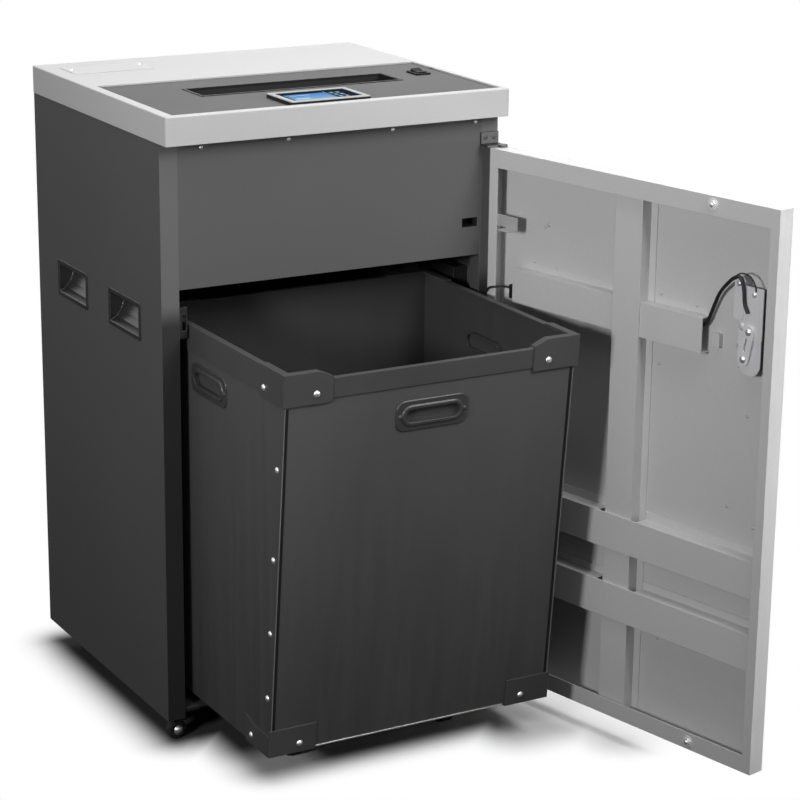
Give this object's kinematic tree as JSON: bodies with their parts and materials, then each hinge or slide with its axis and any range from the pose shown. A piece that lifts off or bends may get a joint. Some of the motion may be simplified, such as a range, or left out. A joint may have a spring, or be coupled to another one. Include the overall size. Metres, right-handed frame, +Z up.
{
  "type": "cross-cut paper shredder",
  "caption": "Floor-standing cross-cut paper shredder: cabinet on casters, lid with feed slot, touch display and switch, open door with lock, and a waste bin rolled out.",
  "frame": {"origin": "on the floor, under the middle of the lid", "axes": "+X to the right seen from the front, +Y to the back, +Z up"},
  "size_m": [0.6828, 1.0395, 0.9615],
  "materials": {
    "lid_paint": "satin light grey paint",
    "inlay_paint": "matt mid grey paint",
    "body_paint": "fine textured dark grey paint",
    "door_paint": "satin light grey paint",
    "black_steel": "black coated steel",
    "bright_steel": "zinc plated",
    "cutter_steel": "hardened and ground",
    "head_steel": "phosphated plate",
    "bronze": "sintered bronze",
    "motor_paint": "black enamel",
    "black_plastic": "black moulded",
    "bin_board": "dark grey twin-wall board",
    "screen": "touch glass over a lit screen",
    "cable_black": "black sleeved lead",
    "wheel_rubber": "black rubber tread"
  },
  "bodies": {
    "cabinet": {"side_panel_left": "body_paint", "side_panel_right": "body_paint", "side_grips": "black_plastic", "rear_panel": "body_paint", "power_inlet": "black_plastic", "base_frame": "body_paint", "upper_front_panel": "body_paint", "head_deck": "body_paint", "lid_shell": "lid_paint", "lid_inlay": "inlay_paint", "feed_throat": "black_plastic", "display_bezel": "black_plastic", "display_panel": "screen", "switch_frame": "black_plastic", "hinge_bracket_upper": "black_steel", "hinge_bracket_lower": "black_steel", "strike_plate": "black_steel", "interlock_switch": "black_plastic", "control_box": "black_plastic", "head_plate_left": "head_steel", "head_plate_right": "head_steel", "head_tie_bars": "cutter_steel", "shaft_bushes": "bronze", "stripper_combs": "black_plastic", "motor": "motor_paint", "caster_plates": "bright_steel"},
    "rocker": {"switch_rocker": "black_plastic"},
    "front_cutter": {"cutter_front": "cutter_steel", "sync_gear_front": "cutter_steel"},
    "rear_cutter": {"cutter_rear": "cutter_steel", "drive_gear_cluster": "cutter_steel"},
    "pinion": {"motor_pinion": "cutter_steel"},
    "door": {"door_pan": "door_paint", "door_stile": "door_paint", "door_rails": "door_paint", "cable_covers": "door_paint", "lock_case": "black_steel", "lock_bracket": "bright_steel", "lock_cable": "cable_black", "interlock_tab": "bright_steel"},
    "lever": {"lock_lever": "bright_steel"},
    "bin": {"bin_wall_left": "bin_board", "bin_wall_right": "bin_board", "bin_wall_front": "bin_board", "bin_wall_rear": "bin_board", "bin_floor": "bin_board", "bin_rim": "black_plastic", "bin_corner_caps": "black_plastic", "bin_handles": "black_plastic", "bin_axle_brackets": "bright_steel"},
    "bin_front_wheels": {"bin_wheelset_front": "wheel_rubber"},
    "bin_rear_wheels": {"bin_wheelset_rear": "wheel_rubber"},
    "fork_front_left": {"caster_fork_front_left": "black_steel"},
    "wheel_front_left": {"caster_wheel_front_left": "wheel_rubber"},
    "fork_front_right": {"caster_fork_front_right": "black_steel"},
    "wheel_front_right": {"caster_wheel_front_right": "wheel_rubber"},
    "fork_rear_left": {"caster_fork_rear_left": "black_steel"},
    "wheel_rear_left": {"caster_wheel_rear_left": "wheel_rubber"},
    "fork_rear_right": {"caster_fork_rear_right": "black_steel"},
    "wheel_rear_right": {"caster_wheel_rear_right": "wheel_rubber"}
  },
  "joints": [
    {"name": "door_swing", "type": "hinge", "parent": "cabinet", "child": "door", "pos_m": [0.2744, -0.2431, 0.454], "axis": [0, 0, 1], "range_deg": [-14, 60]},
    {"name": "bin_roll_out", "type": "slide", "parent": "cabinet", "child": "bin", "axis": [0, 1, 0], "range_m": [-0.15, 0.317]},
    {"name": "bin_front_wheels_roll", "type": "hinge", "parent": "bin", "child": "bin_front_wheels", "pos_m": [0, -0.3335, 0.025], "axis": [1, 0, 0], "continuous": true},
    {"name": "bin_rear_wheels_roll", "type": "hinge", "parent": "bin", "child": "bin_rear_wheels", "pos_m": [0, -0.1485, 0.025], "axis": [1, 0, 0], "continuous": true},
    {"name": "lever_turn", "type": "hinge", "parent": "door", "child": "lever", "pos_m": [0.37191, -0.73938, 0.6875], "axis": [0.9759, 0.2181, 0], "range_deg": [0, 40]},
    {"name": "power_rocker", "type": "hinge", "parent": "cabinet", "child": "rocker", "pos_m": [0.233, -0.059, 0.9545], "axis": [1, 0, 0], "range_deg": [-16, 0]},
    {"name": "rear_cutter_turn", "type": "hinge", "parent": "cabinet", "child": "rear_cutter", "pos_m": [0.0115, -0.049, 0.8], "axis": [1, 0, 0], "continuous": true},
    {"name": "front_cutter_turn", "type": "hinge", "parent": "cabinet", "child": "front_cutter", "pos_m": [0.0115, -0.091, 0.8], "axis": [1, 0, 0], "continuous": true},
    {"name": "pinion_turn", "type": "hinge", "parent": "cabinet", "child": "pinion", "pos_m": [0.19, 0.026, 0.8], "axis": [1, 0, 0], "continuous": true},
    {"name": "caster_swivel_front_left", "type": "hinge", "parent": "cabinet", "child": "fork_front_left", "pos_m": [-0.244, -0.2, 0.033], "axis": [0, 0, 1], "continuous": true},
    {"name": "caster_roll_front_left", "type": "hinge", "parent": "fork_front_left", "child": "wheel_front_left", "pos_m": [-0.256, -0.2, 0.015], "axis": [0, 1, 0], "continuous": true},
    {"name": "caster_swivel_front_right", "type": "hinge", "parent": "cabinet", "child": "fork_front_right", "pos_m": [0.244, -0.2, 0.033], "axis": [0, 0, 1], "continuous": true},
    {"name": "caster_roll_front_right", "type": "hinge", "parent": "fork_front_right", "child": "wheel_front_right", "pos_m": [0.232, -0.2, 0.015], "axis": [0, 1, 0], "continuous": true},
    {"name": "caster_swivel_rear_left", "type": "hinge", "parent": "cabinet", "child": "fork_rear_left", "pos_m": [-0.206, 0.207, 0.033], "axis": [0, 0, 1], "continuous": true},
    {"name": "caster_roll_rear_left", "type": "hinge", "parent": "fork_rear_left", "child": "wheel_rear_left", "pos_m": [-0.218, 0.207, 0.015], "axis": [0, 1, 0], "continuous": true},
    {"name": "caster_swivel_rear_right", "type": "hinge", "parent": "cabinet", "child": "fork_rear_right", "pos_m": [0.206, 0.207, 0.033], "axis": [0, 0, 1], "continuous": true},
    {"name": "caster_roll_rear_right", "type": "hinge", "parent": "fork_rear_right", "child": "wheel_rear_right", "pos_m": [0.194, 0.207, 0.015], "axis": [0, 1, 0], "continuous": true}
  ],
  "couplings": [
    {"joint": "front_cutter_turn", "follows": "rear_cutter_turn", "ratio": -1},
    {"joint": "pinion_turn", "follows": "rear_cutter_turn", "ratio": -4},
    {"joint": "bin_front_wheels_roll", "follows": "bin_roll_out", "rad_per_m": -40},
    {"joint": "bin_rear_wheels_roll", "follows": "bin_roll_out", "rad_per_m": -40}
  ]
}
